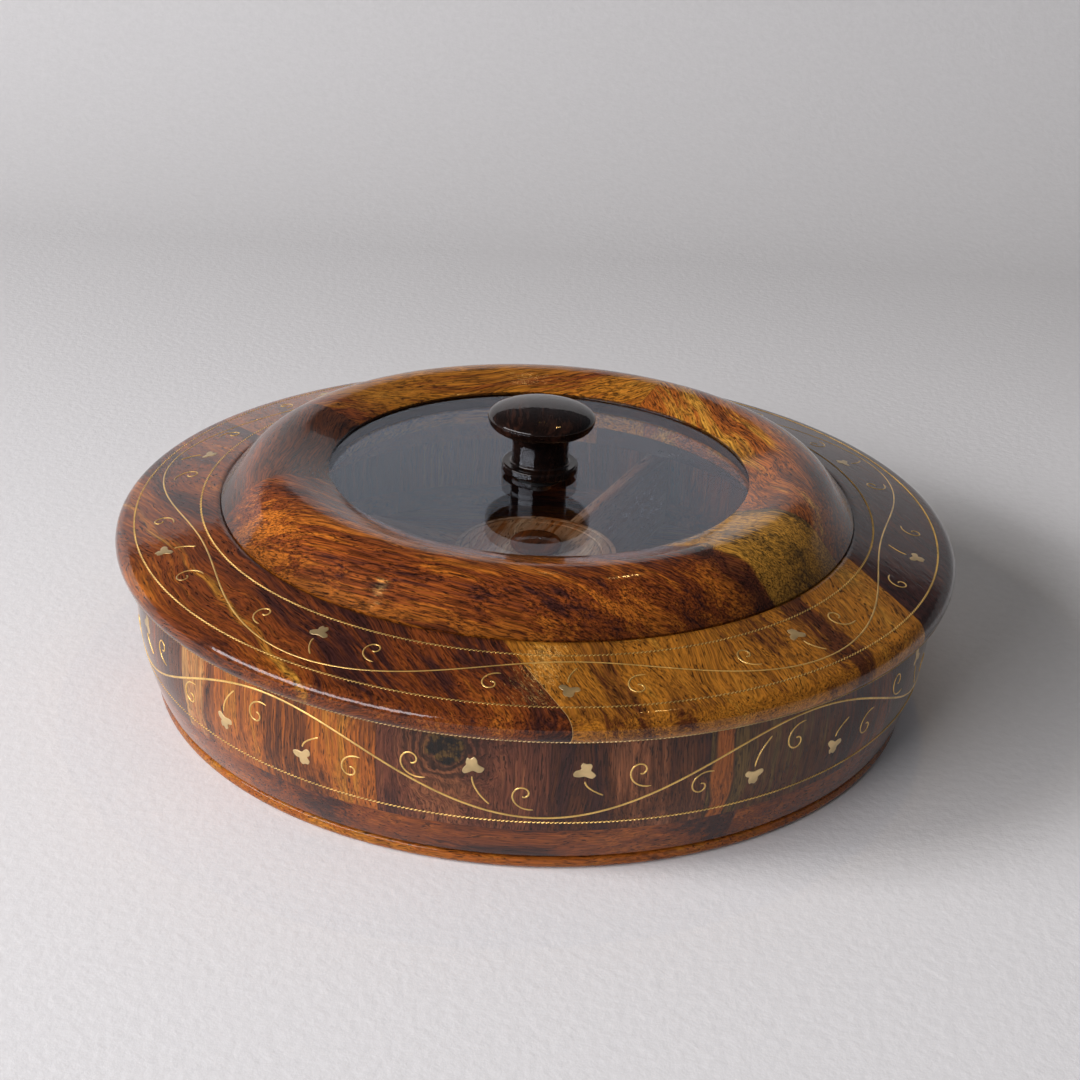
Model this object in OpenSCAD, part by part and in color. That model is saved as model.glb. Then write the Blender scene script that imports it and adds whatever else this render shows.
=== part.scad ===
// Round wooden spice box: a coopered wall on a turned base, four radial dividers round a small
// centre pot, and a segmented lid with a glass window, a turned knob and brass wire inlay.
// Millimetres. The box's axis is Z, the table is Z = 0 and the front is towards -Y.

/* [Wall] */
// Radius of the wall at its widest level
belly_r = 121.7; // [120:0.1:122.5]
// Height of that level above the table
belly_z = 32.8; // [30:0.1:36]
// Radius of the arc that the wall's outer face follows
wall_arc_r = 78; // [70:1:90]
// Height of the wall's top edge
wall_top_z = 43.3; // [42.5:0.1:45]
// Radius of the wall's straight inner face
wall_inner_r = 106.7; // [105:0.1:108]
// Angles of the joints between the upright staves, from the front, in degrees
stave_joints = [3, 23, 44, 62, 84, 105, 124, 146, 165, 187, 208, 227, 249, 270, 289, 308, 325, 341.5];

/* [Base] */
// Height of the base board's visible edge
base_edge_h = 3.7; // [3:0.1:4.5]
// Height of the floor inside the box
floor_z = 6; // [5:0.1:7]
// Top of the lower ring, where the staves begin
ring_top_z = 14.5; // [12:0.1:15.5]

/* [Inside] */
// Thickness of the radial dividers
divider_t = 5; // [3:0.1:7]
// Height of the dividers' top edges
divider_top_z = 36.2; // [30:0.1:37.5]
// Angle of the first divider, from the front, in degrees
divider_turn = 65.7; // [0:0.1:90]
// Outer radius of the centre ring
pot_r = 25.4; // [22:0.1:30]
// Wall thickness of the centre ring
pot_wall_t = 3; // [2.6:0.1:4]
// Height of the centre ring's rim
pot_top_z = 38.5; // [37:0.1:40]
// Gap round the centre pot's own lid
pot_lid_gap = 0.3; // [0.3:0.05:0.6]
// Radius of that lid's button
button_r = 8; // [6:0.1:10]
// Height of the button
button_h = 4; // [3:0.1:5]

/* [Lid brim] */
// Outer radius of the lid
rim_r = 127; // [126:0.1:129]
// Radius of the rim's rounding
rim_round_r = 4.3; // [4:0.1:4.6]
// Slope of the brim's upper face, in degrees
brim_slope = 11.5; // [9:0.5:13]
// Inner radius of the brim ring
brim_inner_r = 80; // [78:0.5:84]
// Width of the middle plank of the panel that the brim ring is cut from
brim_plank_w = 115; // [105:1:125]
// Angle that this plank runs to, from the front, in degrees
brim_turn = 32; // [0:1:60]
// Radial gap between the locating ring and the wall
locating_gap = 0.5; // [0.35:0.05:1]
// Width and depth of the locating ring
locating_size = 5; // [4:0.1:5.5]

/* [Lid crown] */
// Radius of the crown's foot
crown_foot_r = 95.7; // [94:0.1:97]
// Radius of the crown's ridge
ridge_r = 78; // [76:0.1:79]
// Height of the crown's ridge
ridge_z = 70.3; // [69.5:0.1:71]
// Radius of the arc over the ridge
ridge_arc_r = 15; // [14:0.5:16]
// Angles of the crown's four joints, from the front, in degrees
crown_joints = [64.5, 150, 245, 288];

/* [Glass and knob] */
// Radius of the window's opening
window_r = 63.6; // [61:0.1:65]
// Height of the glass's upper face
glass_z = 65.7; // [65.5:0.1:66]
// Thickness of the glass
glass_t = 2; // [2:0.1:2.5]
// Widest radius of the knob
knob_r = 16.2; // [14:0.1:18]
// Height of the knob above the glass
knob_h = 20.9; // [19.5:0.1:22]
// Radius of the knob's foot
knob_foot_r = 11.6; // [11:0.1:13]
// Radius of the knob's neck
knob_neck_r = 8.6; // [7:0.1:9.5]
// Radius of the knob's screw
screw_r = 2; // [1.8:0.1:2.2]

/* [Brass inlay] */
// Radius of the wire in the borders and the vines
wire_r = 0.4; // [0.3:0.05:0.45]
// Radius of the finer wire in the tendrils
tendril_r = 0.28; // [0.2:0.02:0.32]
// Number of waves in each vine
waves = 5; // [4:1:6]
// Angle of the first trough of the wall's vine, from the front, in degrees
wall_vine_turn = 2; // [0:0.5:20]
// Angle of the innermost point of the brim's vine, from the front, in degrees
brim_vine_turn = 5.5; // [0:0.5:20]
// Height of the wall's border wire
border_z = 17.4; // [16.5:0.1:17.6]
// Radii of the two border wires on the brim
brim_borders = [101.7, 121.3];

/* [Hidden] */
STAVES = len(stave_joints);
DIVIDERS = 4;
BRIM_BOARDS = 4;
CROWN_BOARDS = len(crown_joints);

$fn = 96;
FINE = 180;
// Far enough to reach past the box on every side
REACH = 400;
// Angle from +X of the front of the box
FRONT = -90;

// Wall arc's centre, and how deep a wire's middle lies under the surface it is let into
arc_centre_r = belly_r - wall_arc_r;
wire_sink = 0.6 * wire_r;
WIRE_SIDES = 5;
STEPS_A_WAVE = 24;
CURL_STEPS = 10;

// Vine on the wall: its middle height and the height of its waves
wall_vine_z = 29.6;
wall_vine_rise = 10.7;
// Vine on the brim: its middle radius and the reach of its waves
brim_vine_r = 111.3;
brim_vine_rise = 7.2;
LEAF_T = 0.8;
LEAF_PROUD = 0.08;

// Rim rounding's centre, and the height of the brim's sloping face at a radius
rim_centre_r = rim_r - rim_round_r;
rim_centre_z = wall_top_z + rim_round_r;
function brim_z(r) = rim_centre_z + rim_round_r * cos(brim_slope)
    - (r - rim_centre_r - rim_round_r * sin(brim_slope)) * tan(brim_slope);

// Crown: the flat it sits on, and the slopes that leave the ridge's arc on each side
crown_seat_z = 54;
outer_lean = 50;
inner_lean = 17;
rebate_r = window_r + 4.8;
pane_r = rebate_r - 0.3;
bead_h = 3.5;
bead_t = 3.8;
pane_hole_r = screw_r + 0.6;
washer_r = 6;
steel_t = 0.8;
rubber_t = 1;
head_r = 3.8;
head_h = 2.2;
screw_top = 12.5;
glass_under_z = glass_z - glass_t;
pot_rebate = 3;

function wall_r(z) = arc_centre_r + sqrt(pow(wall_arc_r, 2) - pow(z - belly_z, 2));
function arc(centre, r, from, to, steps) =
    [for (i = [0:steps]) let (a = from + (to - from) * i / steps) centre + r * [cos(a), sin(a)]];
function unit(v) = v / norm(v);

// Points on the wall and on the brim, and the directions straight out of them.
// wall_out and brim_out take an angle from the front; sink goes into the wood.
function wall_lean(z) = asin((z - belly_z) / wall_arc_r);
function wall_out(turn, z) = let (a = FRONT + turn, t = wall_lean(z))
    [cos(a) * cos(t), sin(a) * cos(t), sin(t)];
function wall_at(turn, z, sink) = let (a = FRONT + turn)
    wall_r(z) * [cos(a), sin(a), 0] + [0, 0, z] - sink * wall_out(turn, z);
function brim_out(turn) = let (a = FRONT + turn)
    [cos(a) * sin(brim_slope), sin(a) * sin(brim_slope), cos(brim_slope)];
function brim_at(turn, r, sink) = let (a = FRONT + turn)
    [r * cos(a), r * sin(a), brim_z(r)] - sink * brim_out(turn);
function wall_vine_height(turn) = wall_vine_z - wall_vine_rise * cos(waves * (turn - wall_vine_turn));
function brim_vine_radius(turn) = brim_vine_r - brim_vine_rise * cos(waves * (turn - brim_vine_turn));

// A wire through rings of points. Each path is a list of [point, direction out of the surface].
function ahead(path, i, closed) = let (n = len(path), next = closed ? (i + 1) % n : min(i + 1, n - 1),
    last = closed ? (i + n - 1) % n : max(i - 1, 0)) unit(path[next][0] - path[last][0]);
function ring(path, i, r, closed) = let (t = ahead(path, i, closed), side = unit(cross(t, path[i][1])),
    up = cross(side, t)) [for (k = [0:WIRE_SIDES - 1]) let (a = 360 * k / WIRE_SIDES)
        path[i][0] + r * (cos(a) * side + sin(a) * up)];
function skin(first, n, closed) = [for (i = [0:closed ? n - 1 : n - 2], k = [0:WIRE_SIDES - 1])
    let (a = first + i * WIRE_SIDES, b = first + ((i + 1) % n) * WIRE_SIDES, next = (k + 1) % WIRE_SIDES)
    each [[a + k, b + k, b + next], [a + k, b + next, a + next]]];
function ends(first, n) = [[for (k = [0:WIRE_SIDES - 1]) first + k],
    [for (k = [WIRE_SIDES - 1:-1:0]) first + (n - 1) * WIRE_SIDES + k]];

// Separate wires in one solid: every path has the same number of points
module wires(paths, r, closed = false) {
    n = len(paths[0]);
    polyhedron(
        points = [for (path = paths, i = [0:n - 1]) each ring(path, i, r, closed)],
        faces = [for (p = [0:len(paths) - 1]) let (first = p * n * WIRE_SIDES)
            each concat(skin(first, n, closed), closed ? [] : ends(first, n))]
    );
}

// One curl, as [across, away from the vine]: a tail that winds in on itself
curl_start = -62;
curl_sweep = 400;
function curl(size) = [for (i = [0:CURL_STEPS]) let (s = i / CURL_STEPS, a = curl_start - curl_sweep * s,
    r = size * (0.36 + 0.42 * (1 - pow(s, 3)) + 1.55 * pow(1 - s, 5))) r * [cos(a), sin(a)]];
// One leaf stem: from just below the leaf down towards the vine, bending to the right
stem_start = 3.1;
function stem(reach) = [for (i = [0:CURL_STEPS]) let (s = i / CURL_STEPS)
    [reach[0] * pow(s, 1.6), -stem_start - reach[1] * pow(s, 0.85)]];

// The bends of a vine, as [angle of the bend, side that its ornaments take: 1 or -1]
function bends(turn) = [for (i = [0:2 * waves - 1]) [turn + i * 180 / waves, i % 2 == 0 ? 1 : -1]];
// The ornaments' angles below suit bends 36 degrees apart. They are divided by this for other spacings.
bend_step = 36 / (180 / waves);
// Ornaments of a bend on the wall: [angle from the bend, distance from the vine's middle height].
// A leaf's place also says how far its stem reaches: [across, towards the vine].
wall_leaf_size = 5.9;
wall_leaf_places = [[-8.4, 4.4, [4.6, 8.2]], [5.2, 4.2, [5, 4.4]]];
wall_curl_places = [[-16, 3.8], [-2.2, -3], [12, 3.6]];
wall_curl_size = 2.5;
// Ornaments of a bend on the brim: [angle from the bend, distance from the vine's middle radius]
brim_leaf_size = 5.6;
brim_leaf_places = [[-0.5, 3.9, [3, 5.6]]];
brim_curl_places = [[-10.5, 2.4], [8.5, 3.4]];
brim_curl_size = 2.2;

function on_wall(flat, turn, z, side) = [for (p = flat)
    let (t = turn + p[0] / wall_r(z) * 180 / PI, h = z + side * p[1])
        [wall_at(t, h, 0.6 * tendril_r), wall_out(t, h)]];
function on_brim(flat, turn, r, side) = [for (p = flat)
    let (t = turn + p[0] / r * 180 / PI) [brim_at(t, r + side * p[1], 0.6 * tendril_r), brim_out(t)]];

// Half-profile of the whole wall between two heights: outer arc, straight inner face
module wall_profile(from, to) {
    intersection() {
        translate([arc_centre_r, belly_z]) circle(r = wall_arc_r, $fn = FINE);
        translate([wall_inner_r, from]) square([REACH, to - from]);
    }
}

module wire_section(r, z, out_r, out_z) {
    translate([r - wire_sink * out_r, z - wire_sink * out_z]) circle(r = wire_r, $fn = 24);
}

module wall_border_section() {
    wire_section(wall_r(border_z), border_z, cos(wall_lean(border_z)), sin(wall_lean(border_z)));
}

module brim_border_section(i) {
    wire_section(brim_borders[i], brim_z(brim_borders[i]), sin(brim_slope), cos(brim_slope));
}

// The rope wire sits low on the rim's rounding, this far below its middle
rope_angle = -38;
module rope_section() {
    wire_section(rim_centre_r + rim_round_r * cos(rope_angle), rim_centre_z + rim_round_r * sin(rope_angle),
        cos(rope_angle), sin(rope_angle));
}

module base_board() {
    lip_r = wall_r(base_edge_h);
    color("saddlebrown") rotate_extrude($fn = FINE) polygon([
        [0, 0], [lip_r - 1.8, 0], [lip_r - 0.6, 0.5], [lip_r + 0.2, 1.6], [lip_r + 0.2, 2.8],
        [lip_r - 0.7, base_edge_h], [wall_inner_r - 0.2, base_edge_h],
        [wall_inner_r - 0.2, floor_z], [0, floor_z]
    ]);
}

module lower_ring() {
    groove = 0.7;
    color("sienna") rotate_extrude($fn = FINE) difference() {
        wall_profile(base_edge_h, ring_top_z);
        translate([wall_r(base_edge_h), base_edge_h]) rotate(45) square(2 * groove, center = true);
    }
}

module stave(i) {
    start = stave_joints[i - 1];
    stop = i < STAVES ? stave_joints[i] : stave_joints[0] + 360;
    color("sienna") rotate_extrude(angle = stop - start, start = FRONT + start, $fn = FINE) difference() {
        wall_profile(ring_top_z, wall_top_z);
        wall_border_section();
    }
}

module wall_border_wire() {
    color("gold") rotate_extrude($fn = FINE) wall_border_section();
}

module wall_vine() {
    count = waves * STEPS_A_WAVE;
    path = [for (i = [0:count - 1]) let (t = wall_vine_turn + 360 * i / count, z = wall_vine_height(t))
        [wall_at(t, z, wire_sink), wall_out(t, z)]];
    color("gold") wires([path], wire_r, closed = true);
}

module wall_tendrils() {
    curls = [for (b = bends(wall_vine_turn), p = wall_curl_places)
        on_wall(curl(wall_curl_size), b[0] + p[0] / bend_step, wall_vine_z + b[1] * p[1], b[1])];
    stems = [for (b = bends(wall_vine_turn), p = wall_leaf_places)
        on_wall(stem(p[2]), b[0] + p[0] / bend_step, wall_vine_z + b[1] * p[1], b[1])];
    color("gold") wires(concat(curls, stems), tendril_r);
}

// An ivy-leaf chip of brass, its foot towards -Y, its upper face at Z = 0
module leaf(width) {
    half_w = width / 2;
    translate([0, 0, -LEAF_T]) linear_extrude(LEAF_T) {
        for (side = [-1, 1]) translate([0.64 * side, -0.38] * half_w) circle(r = 0.36 * half_w, $fn = 32);
        translate([0, 0.36 * half_w]) circle(r = 0.44 * half_w, $fn = 32);
        translate([0, -0.14 * half_w]) circle(r = 0.42 * half_w, $fn = 32);
    }
}

module wall_leaves() {
    color("goldenrod") for (b = bends(wall_vine_turn), p = wall_leaf_places) {
        turn = b[0] + p[0] / bend_step;
        z = wall_vine_z + b[1] * p[1];
        rotate([0, 0, FRONT + turn]) translate([wall_r(z), 0, z]) rotate([0, 90 - wall_lean(z), 0])
            rotate(b[1] > 0 ? 90 : -90) translate([0, 0, LEAF_PROUD]) leaf(wall_leaf_size);
    }
}

module divider(i) {
    top_w = divider_t - 1.6;
    section = [[-divider_t / 2, floor_z], [divider_t / 2, floor_z], [divider_t / 2, divider_top_z - 0.8],
        [top_w / 2, divider_top_z], [-top_w / 2, divider_top_z], [-divider_t / 2, divider_top_z - 0.8]];
    color("peru") intersection() {
        rotate([0, 0, FRONT + divider_turn + 90 * (i - 1)]) difference() {
            rotate([90, 0, 90]) linear_extrude(wall_inner_r + 5) polygon(section);
            cylinder(r = pot_r, h = REACH, center = true, $fn = FINE);
        }
        cylinder(r = wall_inner_r, h = REACH, center = true, $fn = FINE);
    }
}

module centre_ring() {
    inner_r = pot_r - pot_wall_t;
    seat_r = inner_r + 1.2;
    color("peru") rotate_extrude($fn = FINE) polygon([
        [inner_r, floor_z], [pot_r, floor_z], [pot_r, pot_top_z - 0.8], [pot_r - 0.5, pot_top_z],
        [seat_r, pot_top_z], [seat_r, pot_top_z - pot_rebate], [inner_r, pot_top_z - pot_rebate]
    ]);
}

module centre_lid() {
    lid_r = pot_r - pot_wall_t + 1.2 - pot_lid_gap;
    spigot_r = 2.2;
    color("sienna") rotate_extrude($fn = FINE) polygon([
        [0, pot_top_z - pot_rebate], [lid_r, pot_top_z - pot_rebate], [lid_r, pot_top_z - 0.4],
        [lid_r - 0.4, pot_top_z], [lid_r - 2.6, pot_top_z], [lid_r - 3, pot_top_z - 0.5],
        [lid_r - 3.4, pot_top_z], [spigot_r, pot_top_z], [spigot_r, pot_top_z - 2], [0, pot_top_z - 2]
    ]);
}

module centre_lid_button() {
    spigot_r = 2.2;
    round_r = 1.3;
    shoulder = arc([button_r - round_r, pot_top_z + button_h - round_r - 0.4], round_r, -40, 80, 8);
    color("saddlebrown") rotate_extrude($fn = 72) polygon(concat(
        [[0, pot_top_z - 2], [spigot_r, pot_top_z - 2], [spigot_r, pot_top_z],
            [button_r - 2.4, pot_top_z], [button_r - 2, pot_top_z + 0.9]],
        shoulder, [[0, pot_top_z + button_h]]
    ));
}

// Half-profile of the brim ring: flat below, round rim, sloping top, a seat for the crown
module brim_profile() {
    round_rim = arc([rim_centre_r, rim_centre_z], rim_round_r, -90, 90 - brim_slope, 14);
    notch = 0.9;
    difference() {
        polygon(concat(
            [[brim_inner_r, wall_top_z]], round_rim,
            [[crown_foot_r + notch, brim_z(crown_foot_r + notch)],
                [crown_foot_r, brim_z(crown_foot_r) - notch], [crown_foot_r, crown_seat_z],
                [brim_inner_r, crown_seat_z]]
        ));
        brim_border_section(0);
        brim_border_section(1);
        rope_section();
    }
}

// The brim ring is cut from three planks glued side by side. Its hole parts the middle plank in
// two, boards 1 and 3. The outer planks are boards 2 and 4.
module brim_board(i) {
    turn = FRONT + brim_turn + 90 * (i - 1);
    half_w = brim_plank_w / 2;
    color(i % 2 == 1 ? "peru" : "sienna") intersection() {
        rotate_extrude($fn = FINE) brim_profile();
        rotate([0, 0, turn]) linear_extrude(REACH) {
            if (i % 2 == 1) translate([0, -half_w]) square([REACH, brim_plank_w]);
            else translate([half_w, -REACH / 2]) square(REACH);
        }
    }
}

// Half-profile of the crown ring: convex outside, gentle slope to the glass, rebate below
module crown_profile() {
    top = [ridge_r, ridge_z - ridge_arc_r];
    hump = arc(top, ridge_arc_r, 90 - outer_lean, 90 + inner_lean, 16);
    outer = hump[0];
    inner = hump[16];
    lip_z = inner[1] - (inner[0] - window_r) * tan(inner_lean);
    foot_z = outer[1] - (crown_foot_r - outer[0]) * tan(outer_lean);
    polygon(concat(
        [[rebate_r, crown_seat_z], [crown_foot_r, crown_seat_z], [crown_foot_r, foot_z]], hump,
        [[window_r + 0.4, lip_z + 0.1], [window_r, lip_z - 0.3], [window_r, glass_z], [rebate_r, glass_z]]
    ));
}

module crown_board(i) {
    start = crown_joints[i - 1];
    stop = i < CROWN_BOARDS ? crown_joints[i] : crown_joints[0] + 360;
    color("chocolate") rotate_extrude(angle = stop - start, start = FRONT + start, $fn = FINE)
        crown_profile();
}

module locating_ring() {
    outer_r = wall_inner_r - locating_gap;
    low_z = wall_top_z - locating_size;
    color("sienna") rotate_extrude($fn = FINE) polygon([
        [outer_r - locating_size, low_z], [outer_r - 0.8, low_z], [outer_r, low_z + 0.8],
        [outer_r, wall_top_z], [outer_r - locating_size, wall_top_z]
    ]);
}

module rim_rope_wire() {
    color("gold") rotate_extrude($fn = FINE) rope_section();
}

module outer_border_wire() {
    color("gold") rotate_extrude($fn = FINE) brim_border_section(1);
}

module inner_border_wire() {
    color("gold") rotate_extrude($fn = FINE) brim_border_section(0);
}

module lid_vine() {
    count = waves * STEPS_A_WAVE;
    path = [for (i = [0:count - 1]) let (t = brim_vine_turn + 360 * i / count)
        [brim_at(t, brim_vine_radius(t), wire_sink), brim_out(t)]];
    color("gold") wires([path], wire_r, closed = true);
}

module lid_tendrils() {
    curls = [for (b = bends(brim_vine_turn), p = brim_curl_places)
        on_brim(curl(brim_curl_size), b[0] + p[0] / bend_step, brim_vine_r + b[1] * p[1], b[1])];
    stems = [for (b = bends(brim_vine_turn), p = brim_leaf_places)
        on_brim(stem(p[2]), b[0] + p[0] / bend_step, brim_vine_r + b[1] * p[1], b[1])];
    color("gold") wires(concat(curls, stems), tendril_r);
}

module lid_leaves() {
    color("goldenrod") for (b = bends(brim_vine_turn), p = brim_leaf_places) {
        turn = b[0] + p[0] / bend_step;
        r = brim_vine_r + b[1] * p[1];
        rotate([0, 0, FRONT + turn]) translate([r, 0, brim_z(r)]) rotate([0, brim_slope, 0])
            rotate(b[1] > 0 ? -90 : 90) translate([0, 0, LEAF_PROUD]) leaf(brim_leaf_size);
    }
}

module glass_pane() {
    color("lightblue", 0.4) translate([0, 0, glass_under_z]) difference() {
        cylinder(r = pane_r, h = glass_t, $fn = FINE);
        cylinder(r = pane_hole_r, h = REACH, center = true, $fn = 48);
    }
}

module glass_bead() {
    low_z = glass_under_z - bead_h;
    color("sienna") rotate_extrude($fn = FINE) polygon([
        [rebate_r - bead_t, glass_under_z], [rebate_r - bead_t, glass_under_z - 1.2],
        [rebate_r - bead_t + 1.6, low_z], [rebate_r, low_z], [rebate_r, glass_under_z]
    ]);
}

// Turned knob: a thin disc foot, a waisted neck and a thick mushroom cap
module knob() {
    foot_h = 2.6;
    cap_low = glass_z + 12.6;
    cap_wide = glass_z + 16.8;
    cap_top = glass_z + knob_h;
    edge_r = 3.6;
    dome_rise = cap_top - cap_wide;
    foot = concat(arc([knob_foot_r - 0.4, glass_z + 0.4], 0.4, -90, 0, 4),
        arc([knob_foot_r - 0.7, glass_z + foot_h - 0.7], 0.7, 0, 85, 6));
    neck_low = glass_z + foot_h + 0.4;
    neck = [for (i = [0:8]) let (s = i / 8)
        [knob_neck_r + 0.8 * pow(2 * s - 1, 4), neck_low + (cap_low - neck_low) * s]];
    under = arc([knob_r - edge_r, cap_wide], edge_r, -75, 0, 8);
    dome = [for (i = [1:12]) let (a = 90 * i / 12) [knob_r * cos(a), cap_wide + dome_rise * sin(a)]];
    color("black") difference() {
        rotate_extrude($fn = 120) polygon(concat([[0, glass_z]], foot, neck, under, dome));
        translate([0, 0, glass_z - 1]) cylinder(r = screw_r + 0.05, h = screw_top + 2, $fn = 48);
    }
}

module knob_screw() {
    washer_z = glass_under_z - rubber_t - steel_t;
    low_z = washer_z - head_h;
    slot_w = 1.1;
    color("silver") difference() {
        translate([0, 0, low_z]) union() {
            cylinder(r = head_r, h = head_h, $fn = 48);
            cylinder(r = screw_r, h = glass_z + screw_top - low_z, $fn = 48);
        }
        for (a = [0, 90]) rotate(a) translate([0, 0, low_z])
            cube([2 * head_r - 2.6, slot_w, 2 * slot_w], center = true);
    }
}

module steel_washer() {
    color("silver") translate([0, 0, glass_under_z - rubber_t - steel_t]) difference() {
        cylinder(r = washer_r, h = steel_t, $fn = 48);
        cylinder(r = screw_r + 0.1, h = REACH, center = true, $fn = 48);
    }
}

module rubber_washer() {
    color("dimgray") translate([0, 0, glass_under_z - rubber_t]) difference() {
        cylinder(r = washer_r + 1, h = rubber_t, $fn = 48);
        cylinder(r = screw_r + 0.1, h = REACH, center = true, $fn = 48);
    }
}

base_board();
lower_ring();
for (i = [1:STAVES]) stave(i);
wall_border_wire();
wall_vine();
wall_tendrils();
wall_leaves();
for (i = [1:DIVIDERS]) divider(i);
centre_ring();
centre_lid();
centre_lid_button();
for (i = [1:BRIM_BOARDS]) brim_board(i);
for (i = [1:CROWN_BOARDS]) crown_board(i);
locating_ring();
rim_rope_wire();
outer_border_wire();
inner_border_wire();
lid_vine();
lid_tendrils();
lid_leaves();
glass_pane();
glass_bead();
knob();
knob_screw();
steel_washer();
rubber_washer();
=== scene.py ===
"""Round wooden spice box with brass inlay and a glass window in its lid.

Lengths are in millimetres until a mesh is made, and angles in degrees. A turn is an angle round the
box from its front, -Y, towards +X. Wood reads two mesh attributes: grain, the place in the board's
own axes (along, across, deep) in millimetres, and stain, how dark a joint is, which also carries
painted shade in grooves and creases. Where the stain is below 0 there is a line of pale glue.
"""
import math
import random

import bmesh
import bpy
import numpy as np
from mathutils import Matrix, Vector


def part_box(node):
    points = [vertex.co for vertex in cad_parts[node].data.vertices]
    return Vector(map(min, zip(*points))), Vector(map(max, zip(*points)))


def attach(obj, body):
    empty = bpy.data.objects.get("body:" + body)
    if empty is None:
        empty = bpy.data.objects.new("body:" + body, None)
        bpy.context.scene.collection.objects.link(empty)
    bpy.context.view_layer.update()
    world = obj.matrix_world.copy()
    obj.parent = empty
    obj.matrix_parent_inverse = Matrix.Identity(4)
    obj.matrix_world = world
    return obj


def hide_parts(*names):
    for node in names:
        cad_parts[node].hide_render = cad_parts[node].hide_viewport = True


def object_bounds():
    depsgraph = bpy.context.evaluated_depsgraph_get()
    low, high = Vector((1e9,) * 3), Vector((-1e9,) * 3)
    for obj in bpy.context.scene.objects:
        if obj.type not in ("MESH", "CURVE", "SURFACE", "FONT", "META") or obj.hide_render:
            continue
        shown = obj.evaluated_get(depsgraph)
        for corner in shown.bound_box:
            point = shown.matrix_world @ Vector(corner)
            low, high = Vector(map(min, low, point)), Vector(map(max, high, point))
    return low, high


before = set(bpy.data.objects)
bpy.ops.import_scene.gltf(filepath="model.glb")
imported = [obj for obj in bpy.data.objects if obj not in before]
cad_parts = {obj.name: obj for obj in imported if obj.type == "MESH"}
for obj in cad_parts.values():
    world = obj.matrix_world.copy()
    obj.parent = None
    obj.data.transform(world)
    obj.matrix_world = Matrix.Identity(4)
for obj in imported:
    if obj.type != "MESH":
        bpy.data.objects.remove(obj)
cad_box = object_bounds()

MM = 0.001
FRONT = -90


# ---------------------------------------------------------------- sizes

def low(node, axis):
    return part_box(node)[0][axis] / MM


def high(node, axis):
    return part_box(node)[1][axis] / MM


# Levels and radii that the frame gives
BASE_EDGE = low("lower_ring", 2)
FLOOR = high("base_board", 2)
RING_TOP = low("stave_1", 2)
WALL_TOP = high("stave_1", 2)
DIVIDER_TOP = high("divider_1", 2)
POT_TOP = high("centre_ring", 2)
POT_R = high("centre_ring", 0)
BUTTON_R = high("centre_lid_button", 0)
BUTTON_TOP = high("centre_lid_button", 2)
GLASS_TOP = high("glass_pane", 2)
GLASS_UNDER = low("glass_pane", 2)
PANE_R = high("glass_pane", 0)
BEAD_LOW = low("glass_bead", 2)
BEAD_R = high("glass_bead", 0)
LOCATING_R = high("locating_ring", 0)
LOCATING_LOW = low("locating_ring", 2)
KNOB_R = high("knob", 0)
KNOB_TOP = high("knob", 2)
RIM_R = cad_box[1][0] / MM

# Shape of the wall: an arc outside, straight inside
BELLY_R = 121.7
BELLY_Z = 32.8
WALL_ARC_R = 78
WALL_INNER_R = 106.7
STAVE_JOINTS = [3, 23, 44, 62, 84, 105, 124, 146, 165, 187, 208, 227, 249, 270, 289, 308, 325, 341.5]
DIVIDER_T = 5
DIVIDER_TURN = 65.7

# Shape of the lid
RIM_ROUND_R = 4.3
BRIM_SLOPE = 11.5
BRIM_INNER_R = 80
PLANK_HALF_W = 57.5
BRIM_TURN = 32
CROWN_FOOT_R = 95.7
CROWN_SEAT = 54
CROWN_JOINTS = [64.5, 150, 245, 288]
RIDGE_R = 78
RIDGE_Z = 70.3
RIDGE_ARC_R = 15
OUTER_LEAN = 50
INNER_LEAN = 17
WINDOW_R = 63.6
REBATE_R = 68.4

# Inlay
WAVES = 5
WALL_VINE_TURN = 2
BRIM_VINE_TURN = 5.5
WALL_WIRE_R = 0.37
LID_WIRE_R = 0.27
TENDRIL_R = 0.27
BORDER_Z = 17.4
BRIM_BORDERS = [101.7, 121.3]
ROPE_ANGLE = -38
WALL_VINE_Z = 29.6
WALL_VINE_RISE = 10.7
BRIM_VINE_R = 111.3
BRIM_VINE_RISE = 7.2


# ---------------------------------------------------------------- surfaces

def direction(turn):
    """Unit vector out from the axis at a turn, or at each of several."""
    a = np.radians(FRONT + np.asarray(turn, float))
    return np.stack([np.cos(a), np.sin(a), np.zeros_like(a)], -1)


def wall_r(z):
    return BELLY_R - WALL_ARC_R + np.sqrt(WALL_ARC_R ** 2 - (np.asarray(z, float) - BELLY_Z) ** 2)


def wall_out(turn, z):
    lean = np.arcsin((np.asarray(z, float) - BELLY_Z) / WALL_ARC_R)
    return direction(turn) * np.cos(lean)[..., None] + np.stack([0 * lean, 0 * lean, np.sin(lean)], -1)


def on_wall(turn, z, rise=0.0):
    """Point on the wall's outer face, lifted off it by rise."""
    turn, z = np.broadcast_arrays(np.asarray(turn, float), np.asarray(z, float))
    flat = direction(turn) * wall_r(z)[..., None]
    return flat + np.stack([0 * z, 0 * z, z], -1) + rise * wall_out(turn, z)


RIM_CENTRE_R = RIM_R - RIM_ROUND_R
RIM_CENTRE_Z = WALL_TOP + RIM_ROUND_R
SLOPE = math.radians(BRIM_SLOPE)


def brim_z(r):
    edge_r = RIM_CENTRE_R + RIM_ROUND_R * math.sin(SLOPE)
    return RIM_CENTRE_Z + RIM_ROUND_R * math.cos(SLOPE) - (np.asarray(r, float) - edge_r) * math.tan(SLOPE)


def brim_out(turn):
    out = direction(turn) * math.sin(SLOPE)
    return out + np.array([0, 0, math.cos(SLOPE)])


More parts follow.
